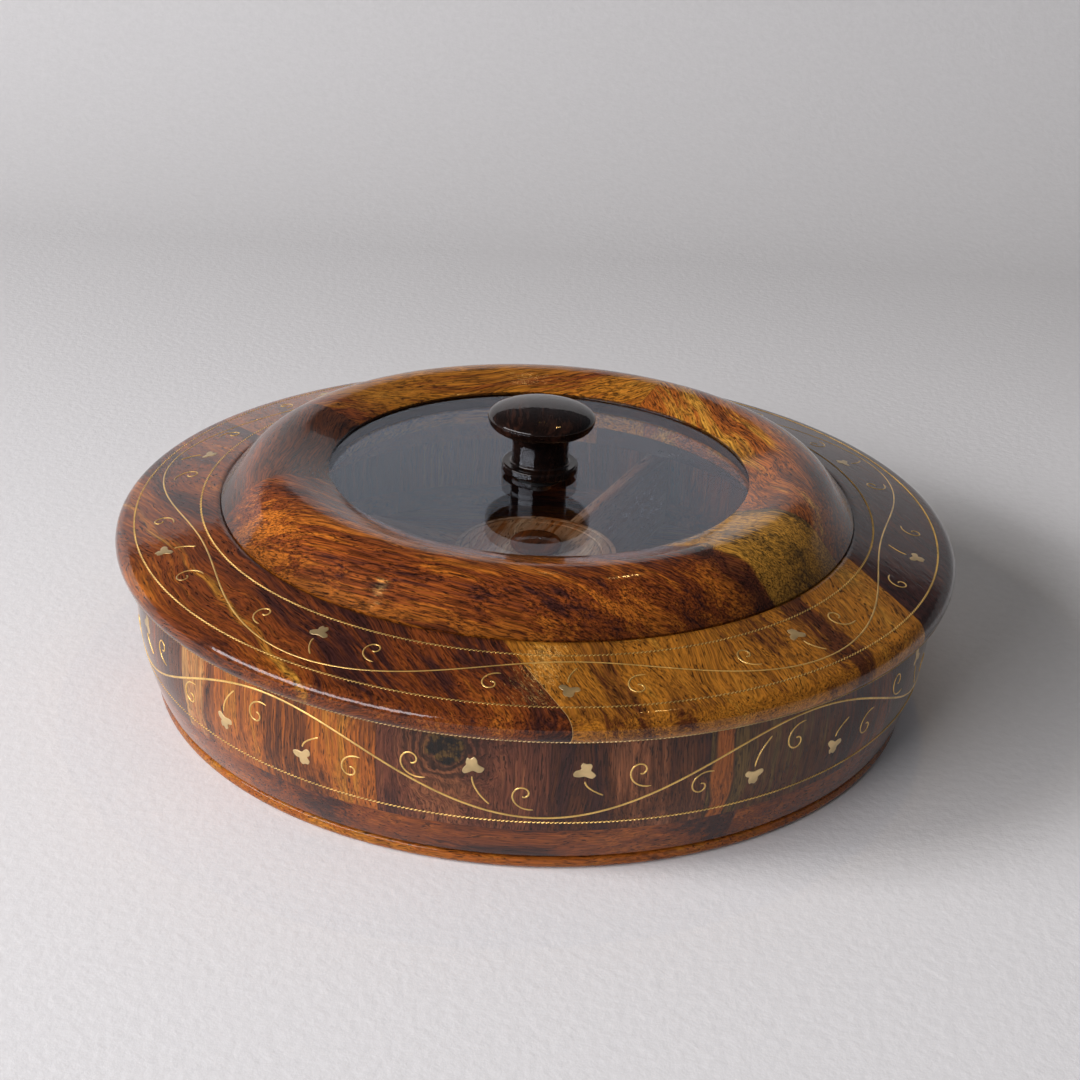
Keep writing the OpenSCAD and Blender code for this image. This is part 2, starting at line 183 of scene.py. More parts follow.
def on_brim(turn, r, rise):
    """Point on the brim's sloping face, lifted off it by rise."""
    turn, r = np.broadcast_arrays(np.asarray(turn, float), np.asarray(r, float))
    z = brim_z(r)
    return direction(turn) * r[..., None] + np.stack([0 * z, 0 * z, z], -1) + rise * brim_out(turn)


def arc(r, z, radius, start, stop, steps):
    """Points (r, z) on an arc of a half-profile, angles from straight out."""
    a = np.radians(np.linspace(start, stop, steps + 1))
    return [(r + radius * math.cos(t), z + radius * math.sin(t)) for t in a]


# ---------------------------------------------------------------- boards and their grain

def laid(turn):
    """Grain runs round the box at this turn."""
    out = direction(turn)
    return np.array([[-out[1], out[0], 0], out, [0, 0, 1]])


def upright(turn):
    """Grain runs up."""
    out = direction(turn)
    return np.array([[0, 0, 1], [-out[1], out[0], 0], out])


def pointing(turn):
    """Grain runs straight out at this turn."""
    out = direction(turn)
    return np.array([out, [-out[1], out[0], 0], [0, 0, 1]])


def grain_of(points, axes, seed):
    """Where each point lies in a tree of its own, so that no two boards match."""
    chance = random.Random(seed)
    place = [chance.uniform(-900, 900) for _ in range(3)]
    return np.asarray(points) @ axes.T + np.array(place)


class Solid:
    """Points, faces and the grain and stain of each point, joined part by part."""

    def __init__(self):
        self.points, self.faces, self.grain, self.joint_and_shade = [], [], [], []

    def add(self, points, faces, axes=None, seed=0, joint_and_shade=None):
        points = np.asarray(points, float).reshape(-1, 3)
        first = sum(len(p) for p in self.points)
        self.points.append(points)
        self.faces += [[first + i for i in face] for face in faces]
        self.grain.append(grain_of(points, np.eye(3) if axes is None else axes, seed))
        self.joint_and_shade.append(np.zeros(len(points)) if joint_and_shade is None else np.asarray(joint_and_shade, float).ravel())
        return self


def lattice(rows, columns, wrap_rows, wrap_columns):
    """Quads over a lattice of points stored row by row."""
    faces = []
    for i in range(rows if wrap_rows else rows - 1):
        for j in range(columns if wrap_columns else columns - 1):
            i2, j2 = (i + 1) % rows, (j + 1) % columns
            faces.append([i * columns + j, i2 * columns + j, i2 * columns + j2, i * columns + j2])
    return faces


def turned(profile, start=0, stop=360, step=1.5, limits=None, glue=0.35):
    """A closed half-profile of (r, z) points swept about Z: (points, faces, stain).

    limits(r) gives both end angles where they change with the radius. Next to each end the surface
    has a narrow strip, glue millimetres wide, that carries the stain of the joint.
    """
    profile = np.asarray(profile, float)
    ring = limits is None and stop - start >= 360
    steps = max(6, int(round((stop - start) / step)))
    share = np.arange(steps) / steps if ring else np.linspace(0, 1, steps + 1)
    if not ring:
        edge = glue / (math.radians(stop - start) * profile[:, 0].max())
        share = np.concatenate([[0, edge], share[1:-1], [1 - edge, 1]])
    if limits:
        ends = np.array([limits(r) for r in profile[:, 0]])
    else:
        ends = np.tile([start, stop], (len(profile), 1))
    turn = ends[:, 0] + (ends[:, 1] - ends[:, 0]) * share[:, None]
    points = direction(turn) * profile[None, :, 0, None]
    points[..., 2] += profile[None, :, 1]
    faces = lattice(len(share), len(profile), ring, True)
    joint_and_shade = np.zeros(turn.shape)
    if not ring:
        last = (len(share) - 1) * len(profile)
        faces += [list(range(len(profile)))[::-1], [last + j for j in range(len(profile))]]
        joint_and_shade[0] = joint_and_shade[-1] = 1
    return points.reshape(-1, 3), faces, joint_and_shade


# ---------------------------------------------------------------- wires and leaves

def unit(v):
    return v / np.linalg.norm(v, axis=-1, keepdims=True)


def swept(path, outs, section, closed):
    """A wire: section[i] lists (side, up) offsets of ring i. Open ends are closed with a face."""
    ahead = np.roll(path, -1, 0) - np.roll(path, 1, 0)
    if not closed:
        ahead[0], ahead[-1] = path[1] - path[0], path[-1] - path[-2]
    side = unit(np.cross(unit(ahead), outs))
    up = np.cross(side, unit(ahead))
    points = path[:, None] + section[..., 0, None] * side[:, None] + section[..., 1, None] * up[:, None]
    rows, columns = section.shape[:2]
    faces = lattice(rows, columns, closed, True)
    if not closed:
        last = (rows - 1) * columns
        faces += [list(range(columns))[::-1], [last + j for j in range(columns)]]
    return points.reshape(-1, 3), faces


def round_section(count, radius, sides=10, closed=True):
    a = np.linspace(0, 2 * math.pi, sides, endpoint=False)
    ring = radius * np.stack([np.cos(a), np.sin(a)], -1)
    section = np.repeat(ring[None], count, 0)
    if not closed:
        section[0] *= 0.55
        section[-1] *= 0.55
    return section


STRAND_R = 0.21
STRAND_OFFSET = 0.20


def twisted_section(count, half_twists, sides=12):
    """Two strands wound round each other: a waisted outline that turns from ring to ring."""
    a = np.linspace(0, 2 * math.pi, sides, endpoint=False)
    radius = STRAND_OFFSET * np.abs(np.cos(a)) + np.sqrt(STRAND_R ** 2 - (STRAND_OFFSET * np.sin(a)) ** 2)
    spin = math.pi * half_twists * np.arange(count) / count
    angle = a[None] + spin[:, None]
    return radius[None, :, None] * np.stack([np.cos(angle), np.sin(angle)], -1)


HALF_TWIST = 1.15
RINGS_A_TWIST = 6


def twisted_ring(centre, outs_at, radius):
    """A twisted wire laid round the box: centre and outs_at take the turns of its rings."""
    half_twists = 2 * round(math.pi * radius / HALF_TWIST)
    count = half_twists * RINGS_A_TWIST
    turns = 360 * np.arange(count) / count
    return swept(centre(turns), outs_at(turns), twisted_section(count, half_twists), True)


def curl(size, start, steps=36):
    """A tendril that winds in on itself from its tail, as (across, away from the vine)."""
    s = np.linspace(0, 1, steps + 1)
    a = np.radians(start - 400 * s)
    r = size * (0.36 + 0.42 * (1 - s ** 3) + 1.55 * (1 - s) ** 5)
    return np.stack([r * np.cos(a), r * np.sin(a)], -1)


STEM_START = 3.1


def stem(across, length, steps=24):
    """A leaf's stem, from just under the leaf towards the vine, bending to the right."""
    s = np.linspace(0, 1, steps + 1)
    return np.stack([across * s ** 1.6, -STEM_START - length * s ** 0.85], -1)


# Outline of a leaf whose half width is 1, from the middle of its foot round to the right
LEAF_POINTS = [(0, -0.52), (0.45, -0.66), (0.80, -0.66), (1.0, -0.36), (0.80, -0.10), (0.50, 0.10),
               (0.52, 0.50), (0.24, 0.82), (-0.04, 0.72), (-0.34, 0.80), (-0.50, 0.42), (-0.46, 0.12),
               (-0.82, -0.10), (-1.0, -0.42), (-0.80, -0.70), (-0.42, -0.64)]
LEAF_DEPTH = 0.7
LEAF_PROUD = 0.07


def smooth_loop(corners, steps):
    """A closed curve through the corners, with no sharp bends."""
    p = np.asarray(corners, float)
    before, after, beyond = np.roll(p, 1, 0), np.roll(p, -1, 0), np.roll(p, -2, 0)
    t = (np.arange(steps) / steps)[None, :, None]
    b, p0, p1, q = before[:, None], p[:, None], after[:, None], beyond[:, None]
    curve = 0.5 * (2 * p0 + (p1 - b) * t + (2 * b - 5 * p0 + 4 * p1 - q) * t ** 2
                   + (3 * p0 - b - 3 * p1 + q) * t ** 3)
    return curve.reshape(-1, 2)


def leaf(place, half_w, tilt, seed):
    """A thin brass chip: place(across, away, rise) puts a flat point on the wood."""
    chance = random.Random(seed)
    corners = [(x + chance.uniform(-0.05, 0.05), y + chance.uniform(-0.05, 0.05)) for x, y in LEAF_POINTS]
    loop = smooth_loop(corners, 5) * half_w
    c, s = math.cos(math.radians(tilt)), math.sin(math.radians(tilt))
    loop = loop @ np.array([[c, s], [-s, c]])
    levels = [(1.0, -LEAF_DEPTH), (1.0, LEAF_PROUD - 0.08), (0.96, LEAF_PROUD - 0.02), (0.9, LEAF_PROUD),
              (0.4, LEAF_PROUD)]
    rings = [place(k * loop[:, 0], k * loop[:, 1], h) for k, h in levels]
    rings.append(place(np.zeros(1), np.zeros(1), LEAF_PROUD))
    n = len(loop)
    faces = lattice(len(levels), n, False, True)
    top = (len(levels) - 1) * n
    faces += [[top + j, len(levels) * n, top + (j + 1) % n] for j in range(n)]
    faces.append(list(range(n)))
    return np.concatenate(rings), faces


# ---------------------------------------------------------------- materials

class Shader:
    """Short calls that build a node tree."""

    def __init__(self, tree):
        self.tree = tree

    def node(self, kind, inputs=None, **settings):
        made = self.tree.nodes.new(kind)
        for key, value in settings.items():
            setattr(made, key, value)
        for key, value in (inputs or {}).items():
            self.set(made, key, value)
        return made

    def set(self, made, key, value):
        if isinstance(value, bpy.types.NodeSocket):
            self.tree.links.new(value, made.inputs[key])
        else:
            made.inputs[key].default_value = value

    def math(self, operation, a, b=0.0, c=0.0, clamp=False):
        made = self.node("ShaderNodeMath", {0: a, 1: b, 2: c}, operation=operation, use_clamp=clamp)
        return made.outputs[0]

    def mix(self, factor, a, b, blend="MIX"):
        made = self.node("ShaderNodeMix", {0: factor, 6: a, 7: b}, data_type="RGBA", blend_type=blend)
        return made.outputs[2]

    def scaled(self, vector, x, y, z):
        return self.node("ShaderNodeVectorMath", {0: vector, 1: (x, y, z)}, operation="MULTIPLY").outputs[0]

    def noise(self, vector, detail, roughness=0.5):
        made = self.node("ShaderNodeTexNoise", {"Vector": vector, "Scale": 1.0, "Detail": detail,
                                                "Roughness": roughness})
        return made.outputs[0]

    def range(self, value, low_in, high_in, low_out=0.0, high_out=1.0):
        made = self.node("ShaderNodeMapRange", {0: value, 1: low_in, 2: high_in, 3: low_out, 4: high_out},
                         interpolation_type="SMOOTHSTEP")
        return made.outputs[0]

    def attribute(self, name, output):
        return self.node("ShaderNodeAttribute", attribute_name=name).outputs[output]


def wood_group():
    """Rosewood: streaks and growth rings along the grain, flecks, pores, a knot and a pale band."""
    tree = bpy.data.node_groups.new("rosewood", "ShaderNodeTree")
    color_kind, number_kind, vector_kind = "NodeSocketColor", "NodeSocketFloat", "NodeSocketVector"
    inputs = [("Dark", color_kind), ("Middle", color_kind), ("Light", color_kind),
              ("Lightness", number_kind), ("Contrast", number_kind), ("Figure", number_kind),
              ("Fleck", number_kind), ("Knot", vector_kind), ("Knot size", number_kind),
              ("Band middle", number_kind), ("Band half width", number_kind),
              ("Band dark", color_kind), ("Band light", color_kind)]
    outputs = [("Color", color_kind), ("Roughness", number_kind), ("Height", number_kind),
               ("Lacquer", number_kind)]
    for name, kind in inputs:
        tree.interface.new_socket(name, in_out="INPUT", socket_type=kind)
    for name, kind in outputs:
        tree.interface.new_socket(name, in_out="OUTPUT", socket_type=kind)
    s = Shader(tree)
    given = s.node("NodeGroupInput").outputs
    grain = s.attribute("grain", "Vector")

    # The knot draws the growth rings round itself
    from_knot = s.node("ShaderNodeVectorMath", {0: grain, 1: given["Knot"]}, operation="SUBTRACT").outputs[0]
    from_knot = s.scaled(from_knot, 0.75, 0.85, 0.25)
    distance = s.node("ShaderNodeVectorMath", {0: from_knot}, operation="LENGTH").outputs["Value"]
    wobble = s.noise(s.scaled(grain, 0.16, 0.16, 0.16), detail=3.0)
    distance = s.math("MULTIPLY_ADD", wobble, 7.0, s.math("SUBTRACT", distance, 3.5))
    near = s.math("DIVIDE", distance, s.math("MAXIMUM", given["Knot size"], 0.001))
    known = s.math("GREATER_THAN", given["Knot size"], 0.01)
    pull = s.math("MULTIPLY", s.range(near, 3.6, 0.0), known)

    # Slow waver of the grain, then streaks along it
    waver = s.noise(s.scaled(grain, 0.011, 0.028, 0.028), detail=2.0)
    ripple = s.noise(s.scaled(grain, 0.045, 0.07, 0.07), detail=2.0)
    figure = s.math("MULTIPLY", s.math("SUBTRACT", waver, 0.5), given["Figure"])
    figure = s.math("MULTIPLY_ADD", s.math("SUBTRACT", ripple, 0.5), 5.0, figure)
    figure = s.math("MULTIPLY_ADD", pull, 12.0, figure)
    shift = s.node("ShaderNodeCombineXYZ", {1: figure, 2: s.math("MULTIPLY", figure, 0.6)}).outputs[0]
    bent = s.node("ShaderNodeVectorMath", {0: grain, 1: shift}, operation="ADD").outputs[0]
    bands = s.noise(s.scaled(bent, 0.006, 0.11, 0.09), detail=4.0, roughness=0.62)
    lines = s.noise(s.scaled(bent, 0.014, 0.8, 0.6), detail=3.0, roughness=0.65)
    patches = s.noise(s.scaled(bent, 0.018, 0.035, 0.03), detail=2.0)

    # Tone from 0, dark, to 1, light
    tone = s.math("MULTIPLY", s.math("SUBTRACT", bands, 0.5), 2.3)
    tone = s.math("MULTIPLY_ADD", s.math("SUBTRACT", lines, 0.5), 1.3, tone)
    tone = s.math("MULTIPLY_ADD", s.math("SUBTRACT", patches, 0.5), 1.6, tone)
    tone = s.math("MULTIPLY_ADD", tone, given["Contrast"], given["Lightness"], clamp=True)
    color = s.mix(s.range(tone, 0.0, 0.5), given["Dark"], given["Middle"])
    color = s.mix(s.range(tone, 0.5, 1.0), color, given["Light"])

    # A band of other wood along the grain, such as sapwood, with a dark line where the two meet
    across = s.node("ShaderNodeSeparateXYZ", {0: grain}).outputs[1]
    across = s.math("MULTIPLY_ADD", s.math("SUBTRACT", ripple, 0.5), 9.0, across)
    beyond = s.math("ABSOLUTE", s.math("SUBTRACT", across, given["Band middle"]))
    beyond = s.math("SUBTRACT", beyond, given["Band half width"])
    banded = s.math("GREATER_THAN", given["Band half width"], 0.01)
    inside = s.math("MULTIPLY", s.range(beyond, 0.7, -0.7), banded)
    reach = s.math("MINIMUM", s.math("MULTIPLY", given["Band half width"], 0.3), 9.0)
    from_rim = s.math("ABSOLUTE", s.math("MULTIPLY_ADD", reach, -0.4, beyond))
    rim = s.math("MULTIPLY", s.range(from_rim, reach, 0.0), banded)
    color = s.mix(s.math("MULTIPLY", rim, 0.8), color, given["Dark"])
    color = s.mix(inside, color, s.mix(s.range(tone, 0.15, 0.8), given["Band dark"], given["Band light"]))

    # Dark eye and rings of the knot
    rings = s.math("SINE", s.math("MULTIPLY", distance, 2.9))
    ring_shade = s.math("MULTIPLY", s.range(rings, -0.8, 0.7, 0.3, 0.9), s.range(near, 3.2, 1.2))
    eye = s.range(near, 1.1, 0.7)
    color = s.mix(s.math("MULTIPLY", ring_shade, known), color, (0.018, 0.007, 0.004, 1))
    heart = s.mix(s.range(s.noise(s.scaled(grain, 0.5, 0.5, 0.5), detail=3.0), 0.45, 0.62),
                  (0.006, 0.005, 0.004, 1), (0.080, 0.042, 0.009, 1))
    color = s.mix(s.math("MULTIPLY", s.math("MULTIPLY", eye, known), 0.95), color, heart)

    # Fine flecks and open pores
    fibres = s.noise(s.scaled(bent, 0.07, 1.9, 1.9), detail=3.0, roughness=0.7)
    fleck = s.math("MULTIPLY_ADD", s.range(fibres, 0.34, 0.66, -1.0, 1.0), given["Fleck"], 1.0)
    fleck = s.node("ShaderNodeCombineColor", {0: fleck, 1: fleck, 2: fleck}).outputs[0]
    color = s.mix(1.0, color, fleck, blend="MULTIPLY")
    pore_field = s.noise(s.scaled(bent, 0.32, 2.5, 2.5), detail=1.0, roughness=0.4)
    crowd = s.range(s.noise(s.scaled(bent, 0.02, 0.25, 0.25), detail=2.0), 0.35, 0.65, 0.05, -0.03)
    pores = s.range(s.math("ADD", pore_field, crowd), 0.62, 0.70)
    color = s.mix(s.math("MULTIPLY", pores, 0.8), color, (0.010, 0.003, 0.001, 1))

    # Joints, and painted shade in grooves and creases: above 0 the wood goes dark, below 0 it is a line of
    # pale glue
    joint_and_shade = s.attribute("joint_and_shade", "Fac")
    color = s.mix(s.math("MULTIPLY", s.math("MAXIMUM", joint_and_shade, 0.0), 0.9), color, (0.006, 0.002, 0.001, 1))
    color = s.mix(s.math("MAXIMUM", s.math("MULTIPLY", joint_and_shade, -0.9), 0.0), color, (0.56, 0.36, 0.14, 1))

    height = s.math("SUBTRACT", s.math("MULTIPLY", fibres, 0.5), pores)
    roughness = s.math("MULTIPLY_ADD", pores, 0.25, s.range(fibres, 0.2, 0.8, 0.34, 0.5))
    lacquer = s.noise(s.scaled(grain, 0.22, 0.5, 0.5), detail=3.0, roughness=0.55)
    lacquer = s.math("MULTIPLY_ADD", s.noise(s.scaled(grain, 0.3, 2.2, 2.2), detail=1.0), 0.16, lacquer)
    out = s.node("NodeGroupOutput")
    s.set(out, "Color", color)
    s.set(out, "Roughness", roughness)
    s.set(out, "Height", height)
    s.set(out, "Lacquer", lacquer)
    return tree


ROSEWOOD = wood_group()

DEEP = (0.012, 0.004, 0.003, 1)
PLUM = (0.038, 0.011, 0.008, 1)
UMBER = (0.080, 0.022, 0.006, 1)
RUSSET = (0.165, 0.038, 0.007, 1)
COPPER = (0.280, 0.075, 0.010, 1)
EMBER = (0.370, 0.108, 0.012, 1)
AMBER = (0.340, 0.125, 0.012, 1)
HONEY = (0.430, 0.205, 0.026, 1)
OLIVE = (0.110, 0.058, 0.012, 1)
TAN = (0.360, 0.175, 0.050, 1)
ROSE = (0.380, 0.190, 0.095, 1)
CREAM = (0.560, 0.370, 0.220, 1)
MULBERRY = (0.110, 0.032, 0.015, 1)
CLAY = (0.220, 0.075, 0.029, 1)


def new_material(name):
    material = bpy.data.materials.new(name)
    material.use_nodes = True
    material.node_tree.nodes.clear()
    return material, Shader(material.node_tree)


def wood(name, colors, lightness, contrast, figure, fleck, knot=None, band=None, polish=0.07,
         gloss=1.35):
    """A lacquered board: colours from dark to light, and how its grain lies in them.

    knot is (place, size) and band is (middle, half width, dark colour, light colour). polish is the
    lacquer's roughness and gloss its index of refraction.
    """
    material, s = new_material(name)
    board = s.node("ShaderNodeGroup", node_tree=ROSEWOOD)
    values = {"Dark": colors[0], "Middle": colors[1], "Light": colors[2], "Lightness": lightness,
              "Contrast": contrast, "Figure": figure, "Fleck": fleck}
    if knot:
        values.update({"Knot": tuple(knot[0]), "Knot size": knot[1]})
    if band:
        values.update({"Band middle": band[0], "Band half width": band[1], "Band dark": band[2],
                       "Band light": band[3]})
    for key, value in values.items():
        s.set(board, key, value)
    out = board.outputs
    bump = s.node("ShaderNodeBump", {"Strength": 0.4, "Distance": 0.00012, "Height": out["Height"]})
    film = s.node("ShaderNodeBump", {"Strength": 0.12, "Distance": 0.0005, "Height": out["Lacquer"]})
    skin = s.node("ShaderNodeBsdfPrincipled", {
        "Base Color": out["Color"], "Roughness": out["Roughness"], "Normal": bump.outputs[0],
        "IOR": 1.4, "Specular IOR Level": 0.05,
        "Coat Weight": 1.0, "Coat Roughness": polish, "Coat IOR": gloss, "Coat Normal": film.outputs[0]})
    s.node("ShaderNodeOutputMaterial", {"Surface": skin.outputs[0]})
    return material


def brass(name, tint, roughness, brushed, metallic):
    """Brass rubbed down with the wood: fine scratches and a little tarnish."""
    material, s = new_material(name)
    place = s.node("ShaderNodeTexCoord").outputs["Object"]
    tarnish = s.noise(s.scaled(place, 140, 140, 140), detail=3.0)
    scratches = s.noise(s.scaled(place, 5200, 900, 2600), detail=1.0)
    dull = tuple(0.62 * c for c in tint) + (1,)
    color = s.mix(s.range(tarnish, 0.38, 0.7), tint + (1,), dull)
    rough = s.math("MULTIPLY_ADD", scratches, 0.22, roughness - 0.1)
    bump = s.node("ShaderNodeBump", {"Strength": brushed, "Distance": 0.00003, "Height": scratches})
    skin = s.node("ShaderNodeBsdfPrincipled", {"Base Color": color, "Roughness": rough, "Metallic": metallic,
                                               "Normal": bump.outputs[0], "Coat Weight": 0.35,
                                               "Coat Roughness": 0.12})
    s.node("ShaderNodeOutputMaterial", {"Surface": skin.outputs[0]})
    return material


def window_glass():
    """A thin clear pane: it mirrors more at a low angle and tints a little what is behind it."""
    material, s = new_material("window_glass")
    place = s.node("ShaderNodeTexCoord").outputs["Object"]
    smears = s.noise(s.scaled(place, 38, 38, 38), detail=4.0, roughness=0.6)
    tint = s.mix(s.range(smears, 0.3, 0.7), (0.96, 0.97, 0.97, 1), (0.90, 0.93, 0.94, 1))
    through = s.node("ShaderNodeBsdfTransparent", {"Color": tint})
    mirror = s.node("ShaderNodeBsdfGlossy", {"Color": (0.84, 0.90, 1.0, 1),
                                             "Roughness": s.range(smears, 0.3, 0.8, 0.004, 0.03)})
    facing = s.node("ShaderNodeLayerWeight", {"Blend": 0.5}).outputs["Facing"]
    share = s.math("MULTIPLY_ADD", s.math("POWER", facing, 5.0), 0.95, 0.05)
    pane = s.node("ShaderNodeMixShader", {0: share, 1: through.outputs[0], 2: mirror.outputs[0]})
    s.node("ShaderNodeOutputMaterial", {"Surface": pane.outputs[0]})
    return material


def steel():
    material, s = new_material("screw_steel")
    place = s.node("ShaderNodeTexCoord").outputs["Object"]
    rings = s.noise(s.scaled(place, 2400, 2400, 600), detail=2.0)
    color = s.mix(rings, (0.42, 0.42, 0.43, 1), (0.62, 0.62, 0.63, 1))
    skin = s.node("ShaderNodeBsdfPrincipled", {"Base Color": color, "Metallic": 1.0,
                                               "Roughness": s.range(rings, 0.2, 0.8, 0.22, 0.4)})
    s.node("ShaderNodeOutputMaterial", {"Surface": skin.outputs[0]})
    return material


def rubber():
    material, s = new_material("washer_rubber")
    place = s.node("ShaderNodeTexCoord").outputs["Object"]
    dust = s.noise(s.scaled(place, 900, 900, 900), detail=3.0)
    color = s.mix(dust, (0.012, 0.012, 0.013, 1), (0.035, 0.034, 0.033, 1))
    bump = s.node("ShaderNodeBump", {"Strength": 0.3, "Distance": 0.00005, "Height": dust})
    skin = s.node("ShaderNodeBsdfPrincipled", {"Base Color": color, "Normal": bump.outputs[0],
                                               "Roughness": s.range(dust, 0.2, 0.8, 0.6, 0.85)})
    s.node("ShaderNodeOutputMaterial", {"Surface": skin.outputs[0]})
    return material


# ---------------------------------------------------------------- pieces

def piece(name, solid, body, nodes, material, sharp=38):
    """Makes the mesh, gives it its attributes, and has it stand for its CAD nodes."""
    mesh = bpy.data.meshes.new(name)
    points = np.concatenate(solid.points) * MM
    mesh.from_pydata(points.tolist(), [], solid.faces)
    grain = mesh.attributes.new("grain", "FLOAT_VECTOR", "POINT")
    grain.data.foreach_set("vector", np.concatenate(solid.grain).astype(np.float32).ravel())
    joint_and_shade = mesh.attributes.new("joint_and_shade", "FLOAT", "POINT")
    joint_and_shade.data.foreach_set("value", np.concatenate(solid.joint_and_shade).astype(np.float32))
    work = bmesh.new()
    work.from_mesh(mesh)
    bmesh.ops.remove_doubles(work, verts=work.verts, dist=1e-7)
    bmesh.ops.recalc_face_normals(work, faces=work.faces)
    work.to_mesh(mesh)
    work.free()
    mesh.shade_smooth()
    mesh.set_sharp_from_angle(angle=math.radians(sharp))
    mesh.materials.append(material)
    made = bpy.data.objects.new(name, mesh)
    bpy.context.scene.collection.objects.link(made)
    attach(made, body)
    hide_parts(*nodes)


def wall_profile(bottom, top, round_top):
    levels = np.linspace(bottom, top - round_top, max(4, int((top - bottom) / 1.2)))
    outer = [(float(wall_r(z)), z) for z in levels]
    outer += arc(float(wall_r(top)) - round_top, top - round_top, round_top, 20, 90, 4)
    outer += arc(WALL_INNER_R + round_top, top - round_top, round_top, 90, 180, 5)
    return outer + [(WALL_INNER_R, bottom)]


# Colours of each stave, and how light it lies in them, from the front round to the right
STAVE_LOOKS = [
    ((PLUM, UMBER, CLAY), 0.46), ((DEEP, UMBER, OLIVE), 0.60), ((DEEP, PLUM, RUSSET), 0.60),
    ((PLUM, UMBER, COPPER), 0.48), ((PLUM, UMBER, RUSSET), 0.50), ((UMBER, COPPER, AMBER), 0.45),
    ((PLUM, UMBER, RUSSET), 0.50), ((UMBER, RUSSET, COPPER), 0.55), ((DEEP, UMBER, RUSSET), 0.50),
    ((RUSSET, COPPER, HONEY), 0.45), ((PLUM, UMBER, RUSSET), 0.50), ((UMBER, RUSSET, COPPER), 0.50),
    ((DEEP, PLUM, RUSSET), 0.50), ((UMBER, RUSSET, AMBER), 0.50), ((PLUM, UMBER, RUSSET), 0.45),
    ((UMBER, COPPER, AMBER), 0.45), ((UMBER, COPPER, AMBER), 0.38), ((PLUM, MULBERRY, CLAY), 0.55)]
KNOT_STAVE = 18
KNOT_TURN = -10.0
KNOT_Z = 38.5
KNOT_SIZE = 4.5
# A strip of paler wood in some staves: (its middle's turn, half width, dark colour, light colour)
STAVE_BANDS = {2: (24.6, 2.6, RUSSET, COPPER), 16: (-51, 9.0, COPPER, TAN), 17: (-22.5, 0.9, COPPER, AMBER)}


def stave(i):
    start = STAVE_JOINTS[i - 1]
    stop = STAVE_JOINTS[i] if i < len(STAVE_JOINTS) else STAVE_JOINTS[0] + 360
    name = f"stave_{i}"
    axes = upright((start + stop) / 2)
    points, faces, joint_and_shade = turned(wall_profile(RING_TOP, WALL_TOP, 0.6), start, stop)
    colors, lightness = STAVE_LOOKS[i - 1]
    knot = band = None
    if i == KNOT_STAVE:
        knot = grain_of(on_wall(KNOT_TURN, KNOT_Z), axes, name), KNOT_SIZE
    if i in STAVE_BANDS:
        turn, half_w, dark, light = STAVE_BANDS[i]
        band = grain_of(on_wall(turn, BELLY_Z), axes, name)[1], half_w, dark, light
    material = wood(name + "_wood", colors, lightness, 1.0, 10, 0.45, knot, band, gloss=1.4)
    solid = Solid().add(points, faces, axes, name, 0.6 * joint_and_shade)
    piece(name + "_board", solid, "box", [name], material)


def lower_ring():
    """Six curved lengths end to end, grain round the box, with a groove over the base."""
    groove = 0.7
    edge_r = float(wall_r(BASE_EDGE))
    outer = [(edge_r - groove, BASE_EDGE), (float(wall_r(BASE_EDGE + groove)), BASE_EDGE + groove)]
    levels = np.linspace(BASE_EDGE + 1.6, RING_TOP, 9)
    outer += [(float(wall_r(z)), z) for z in levels]
    profile = outer + [(WALL_INNER_R, RING_TOP), (WALL_INNER_R, BASE_EDGE)]
    solid = Solid()
    for k in range(6):
        start = 28 + 60 * k
        points, faces, joint_and_shade = turned(profile, start, start + 60)
        joint_and_shade = 0.3 * joint_and_shade
        # Painted shade along the bottom of the groove over the base
        joint_and_shade[:, 0] = 1
        solid.add(points, faces, laid(start + 30), f"ring {k}", joint_and_shade)
    material = wood("lower_ring_wood", (PLUM, RUSSET, COPPER), 0.44, 0.9, 8, 0.4, gloss=1.4)
    piece("lower_ring_boards", solid, "box", ["lower_ring"], material)


def base_board():
    lip = float(wall_r(BASE_EDGE))
    spigot = WALL_INNER_R - 0.2
    profile = [(0, 0), (lip - 1.8, 0)] + arc(lip - 1.8, 2.0, 2.0, -80, 0, 6)
    profile += arc(lip - 0.9, BASE_EDGE - 0.9, 0.9, 5, 85, 5)
    profile += [(spigot, BASE_EDGE), (spigot, FLOOR), (0, FLOOR)]
    points, faces, _ = turned(profile)
    material = wood("base_board_wood", (UMBER, COPPER, AMBER), 0.6, 0.9, 16, 0.4)
    solid = Solid().add(points, faces, laid(0), "base")
    piece("base_board_disc", solid, "box", ["base_board"], material)


def divider(i):
    """Upright plank with a rounded top, its ends hollowed to the ring and the wall."""
    name = f"divider_{i}"
    turn = DIVIDER_TURN + 90 * (i - 1)
    half, bend = DIVIDER_T / 2, 1.6
    section = [(-half, FLOOR), (half, FLOOR)] + arc(half - bend, DIVIDER_TOP - bend, bend, 0, 90, 6)
    section += arc(bend - half, DIVIDER_TOP - bend, bend, 90, 180, 6)
    section = np.array(section)
    inner = np.sqrt(POT_R ** 2 - section[:, 0] ** 2)
    outer = np.sqrt(WALL_INNER_R ** 2 - section[:, 0] ** 2)
    rows = 9
    reach = inner + (outer - inner) * np.linspace(0, 1, rows)[:, None]
    axes = pointing(turn)
    points = (reach[..., None] * axes[0] + section[None, :, 0, None] * axes[1]
              + section[None, :, 1, None] * axes[2])
    n = len(section)
    last = (rows - 1) * n
    faces = lattice(rows, n, False, True) + [list(range(n))[::-1], [last + j for j in range(n)]]
    material = wood(name + "_wood", (COPPER, ROSE, CREAM), 0.5, 0.8, 12, 0.2, polish=0.16)
    piece(name + "_plank", Solid().add(points, faces, axes, name), "box", [name], material)


